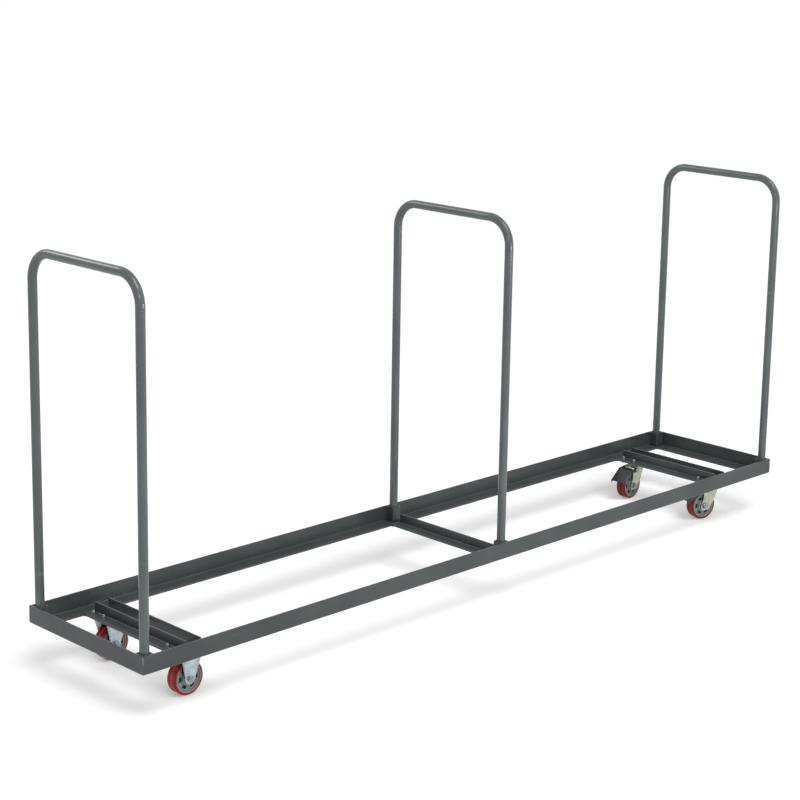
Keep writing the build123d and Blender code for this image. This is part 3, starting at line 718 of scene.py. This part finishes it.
def grown(piece, tree, values):
    """Run a tree on a piece of bare lines and keep the result as its plain mesh."""
    modifier = piece.modifiers.new(tree.name, "NODES")
    modifier.node_group = tree
    for item in tree.interface.items_tree:
        if item.in_out == "INPUT" and item.name in values:
            modifier[item.identifier] = values[item.name]
    bpy.context.view_layer.update()
    evaluated = piece.evaluated_get(bpy.context.evaluated_depsgraph_get())
    mesh = bpy.data.meshes.new_from_object(evaluated)
    piece.modifiers.remove(modifier)
    piece.data = mesh
    mesh.shade_smooth()
    print("grew", piece.name, "faces", len(mesh.polygons))


# %% [markdown]
# The tree now runs along those lines. Half of each bead is sunk in the steel, as a real one is, so its
# line lies on a face of it. The frame was coated after it was welded, so the beads take its powder coat.
# A bead beside a socket is a little finer than one on the flanges.

# %% Welds of the frame
RIPPLE_PITCH = 3.2 * MM
RIPPLE_DEPTH = 0.5 * MM

for place, radius in (("frame", BEAD_RADIUS), ("socket", SOCKET_BEAD)):
    bead_values = {
        "Bead Radius": radius,
        "Ripple Pitch": RIPPLE_PITCH,
        "Ripple Depth": RIPPLE_DEPTH,
        "Material": finishes["grey_powder_coat"],
    }
    beads = line_mesh(f"{place}_weld_beads", seam_lines[place])
    grown(beads, bead_tree, bead_values)
    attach(beads, "frame")

# %% [markdown]
# A bolt's thread is a ridge wound round a rod. Where the bolts stand out of their nuts the ridge shows. A
# stack of rings would do from afar, but a spiral has the right lean from close by. So a tree winds a
# spiral of the real pitch, gives it a small diamond section and puts a copy on each bolt, turned along the
# bolt.

# %% Bolt thread tree
THREAD_STEPS = 24
DIAMOND_SIDES = 4
RIDGE_SHARE = 0.32


def bolt_thread_tree():
    """A tree that winds a thread at the start of each line, along it."""
    tree, given = new_tree("bolt_thread", ("Thread Radius", "Thread Pitch", "Thread Length"))
    length, pitch = given["Thread Length"], given["Thread Pitch"]
    turns = add(tree, "ShaderNodeMath", [length, pitch], "Value", operation="DIVIDE")
    spiral = {
        "Resolution": THREAD_STEPS,
        "Rotations": turns,
        "Start Radius": given["Thread Radius"],
        "End Radius": given["Thread Radius"],
        "Height": length,
    }
    wound = add(tree, "GeometryNodeCurveSpiral", spiral, "Curve")
    ridge = add(tree, "ShaderNodeMath", [pitch, RIDGE_SHARE], "Value", operation="MULTIPLY")
    diamond = {"Resolution": DIAMOND_SIDES, "Radius": 1.0}
    section = add(tree, "GeometryNodeCurvePrimitiveCircle", diamond, "Curve")
    ridged = {"Curve": wound, "Profile Curve": section, "Scale": ridge, "Fill Caps": True}
    thread = add(tree, "GeometryNodeCurveToMesh", ridged, "Mesh")
    line = add(tree, "GeometryNodeMeshToCurve", {"Mesh": given["Geometry"]}, "Curve")
    ends = {"Start Size": 1, "End Size": 0}
    first = add(tree, "GeometryNodeCurveEndpointSelection", ends, "Selection")
    along = add(tree, "GeometryNodeInputTangent", out="Tangent")
    turn = add(tree, "FunctionNodeAlignRotationToVector", {"Vector": along}, "Rotation", axis="Z")
    copies = {"Points": line, "Selection": first, "Instance": thread, "Rotation": turn}
    close_tree(tree, given, add(tree, "GeometryNodeInstanceOnPoints", copies, "Instances"))
    return tree


thread_tree = bolt_thread_tree()
print("tree", thread_tree.name, "nodes", len(thread_tree.nodes))

# %% [markdown]
# The sixteen caster bolts are one node, so their places are read from the mesh: the points near its top
# are the ends of the bolts, and points that lie close together belong to the same bolt. The thread is cut
# a little into the rod, so that its ridge stands out only slightly.

# %% Threads of the caster bolts
BOLT_RADIUS = 3.175 * MM
BOLT_PITCH = 1.27 * MM
BOLT_OUT = 3.0 * MM
THREAD_CUT = 0.25 * MM
TIP_SLICE = 0.1 * MM
ONE_BOLT = 4 * BOLT_RADIUS


def bolt_tips(name, out):
    """Upright lines over the part of each caster bolt that stands out of its nut."""
    mesh = nodes[name].data
    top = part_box(name)[1].z
    tips = {(round(v.co.x, 4), round(v.co.y, 4)) for v in mesh.vertices if v.co.z > top - TIP_SLICE}
    groups = []
    for tip in sorted(tips):
        near = [group for group in groups if math.dist(group[0], tip) < ONE_BOLT]
        if near:
            near[0].append(tip)
        else:
            groups.append([tip])
    lines = []
    for group in groups:
        x, y = ((min(side) + max(side)) / 2 for side in zip(*group))
        lines.append([(x, y, top - out), (x, y, top)])
    return lines


thread_values = {
    "Thread Radius": BOLT_RADIUS - THREAD_CUT,
    "Thread Pitch": BOLT_PITCH,
    "Thread Length": BOLT_OUT - BOLT_PITCH / 2,
    "Material": finishes["zinc_fasteners"],
}
threads = line_mesh("caster_bolt_threads", bolt_tips("caster_bolts", BOLT_OUT))
grown(threads, thread_tree, thread_values)
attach(threads, "frame")

# %% [markdown]
# Treads and bearing seals are turned shapes: one section carried round an axle. The section is drawn as
# distance from the axle and place along it, spun round in steps, and the doubled points where the spin
# meets itself are merged. A Screw modifier could do the same, but a mesh made at once needs no modifier to
# be applied.

# %% Turned pieces
SPIN_STEPS = 144
FULL_TURN = {"cent": (0, 0, 0), "axis": (0, 1, 0), "angle": 2 * math.pi, "steps": SPIN_STEPS}
MERGE_REACH = 0.01 * MM
CREASE = math.radians(40)


def turned_piece(name, sections, corner, material):
    """A piece made by spinning closed sections of (radius, along) points round a wheel's axle."""
    work = bmesh.new()
    for section in sections:
        ring = [work.verts.new((radius, along, 0)) for radius, along in section]
        loop = [work.edges.new((ring[i - 1], ring[i])) for i in range(len(ring))]
        bmesh.ops.spin(work, geom=ring + loop, **FULL_TURN)
    bmesh.ops.remove_doubles(work, verts=work.verts, dist=MERGE_REACH)
    bmesh.ops.recalc_face_normals(work, faces=work.faces)
    mesh = bpy.data.meshes.new(name)
    work.to_mesh(mesh)
    work.free()
    axle = Vector(joints[f"{corner}_wheel_roll"]["pos_m"])
    mesh.transform(Matrix.Translation(axle) @ Matrix.Rotation(axle_turn(corner), 4, "Z"))
    mesh.materials.append(material)
    mesh.shade_smooth()
    mesh.set_sharp_from_angle(angle=CREASE)
    piece = bpy.data.objects.new(name, mesh)
    bpy.context.scene.collection.objects.link(piece)
    return piece


print("a full turn is", SPIN_STEPS, "steps")

# %% [markdown]
# The tread of the CAD model is plain, so a finer one takes its place: rounded shoulders, a soft groove
# round the middle and a thin lip where the polyurethane meets the wheel centre. A Bevel modifier on the
# plain one would round every edge alike, so the section is drawn from arcs, each with its own radius. Its
# outer sizes are the CAD tread's own.

# %% Section of a tread
TREAD_HALF = 17.0 * MM
TREAD_DEPTH = 7.0 * MM
SHOULDER = 4.0 * MM
SHOULDER_STEPS = 8
GROOVE_HALF = 3.5 * MM
GROOVE_DEPTH = 1.8 * MM
GROOVE_ROUND = 1.2 * MM
RIM_TURN, RIM_STEPS = 50, 5
BED_TURN, BED_STEPS = 40, 4
LIP = 0.6 * MM


def tread_radius(corner):
    """The outer radius of a wheel's tread, from its CAD box."""
    low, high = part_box(f"{corner}_tread")
    return (high.z - low.z) / 2


def arc(centre, radius, start, end, steps):
    """Points on an arc, its angles in degrees."""
    turns = [math.radians(start + (end - start) * i / steps) for i in range(steps + 1)]
    return [(centre[0] + radius * math.cos(turn), centre[1] + radius * math.sin(turn)) for turn in turns]


def tread_section(radius):
    """Half of a tread's section, mirrored: shoulder, running face and a groove round the middle."""
    core = radius - TREAD_DEPTH
    shoulder_middle = (radius - SHOULDER, TREAD_HALF - SHOULDER)
    rim_middle = (radius - GROOVE_ROUND, GROOVE_HALF + GROOVE_ROUND / 2)
    bed_middle = (radius - GROOVE_DEPTH + GROOVE_ROUND, 0)
    half = [(core, TREAD_HALF - LIP), (core + LIP, TREAD_HALF)]
    half += arc(shoulder_middle, SHOULDER, 90, 0, SHOULDER_STEPS)
    half += arc(rim_middle, GROOVE_ROUND, 0, -RIM_TURN, RIM_STEPS)
    half += arc(bed_middle, GROOVE_ROUND, 180 - BED_TURN, 180, BED_STEPS)
    return half + [(r, -along) for r, along in reversed(half[:-1])]


print("tread radii in mm", {corner: round(tread_radius(corner) / MM, 2) for corner in WHEELS})

# %% [markdown]
# Each finer tread rides on its own wheel's body, and the CAD tread that it stands for is no longer shown.
# One tread could be copied to the four wheels, but each has its own axle and its own red, so a loop makes
# each where it belongs.

# %% Treads
for corner in WHEELS:
    radius = tread_radius(corner)
    finish = red_polyurethane(corner, radius)
    tread = turned_piece(f"{corner}_polyurethane_tread", [tread_section(radius)], corner, finish)
    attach(tread, f"{corner}_wheel_body")
    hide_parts(f"{corner}_tread")
    print(tread.name, "faces", len(tread.data.polygons))

# %% [markdown]
# Each hub has a ball bearing at both ends, closed by a thin rubber seal. The seal lies in the shallow step
# that the CAD bearing leaves for it. A flat washer would do, but it would look like a bare disc, so the
# section has one raised ring.

# %% Bearing seals
HUB_HALF = 18.0 * MM
SEAL_INNER = 9.7 * MM
SEAL_OUTER = 13.9 * MM
SEAL_DEPTH = 0.6 * MM
RIDGE_HALF = 0.5 * MM
RIDGE_BELOW_FACE = 0.05 * MM


def seal_section(side):
    """A flat rubber washer with one round ridge, on one face of the hub."""
    back = side * (HUB_HALF - SEAL_DEPTH)
    front = side * (HUB_HALF - SEAL_DEPTH / 2)
    crest = side * (HUB_HALF - RIDGE_BELOW_FACE)
    middle = (SEAL_INNER + SEAL_OUTER) / 2
    ridge = [(middle + RIDGE_HALF, front), (middle, crest), (middle - RIDGE_HALF, front)]
    return [(SEAL_INNER, back), (SEAL_OUTER, back), (SEAL_OUTER, front), *ridge, (SEAL_INNER, front)]


for corner in WHEELS:
    sections = [seal_section(1), seal_section(-1)]
    seals = turned_piece(f"{corner}_bearing_seals", sections, corner, finishes["brake_rubber"])
    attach(seals, f"{corner}_wheel_body")
    print(seals.name, "faces", len(seals.data.polygons))
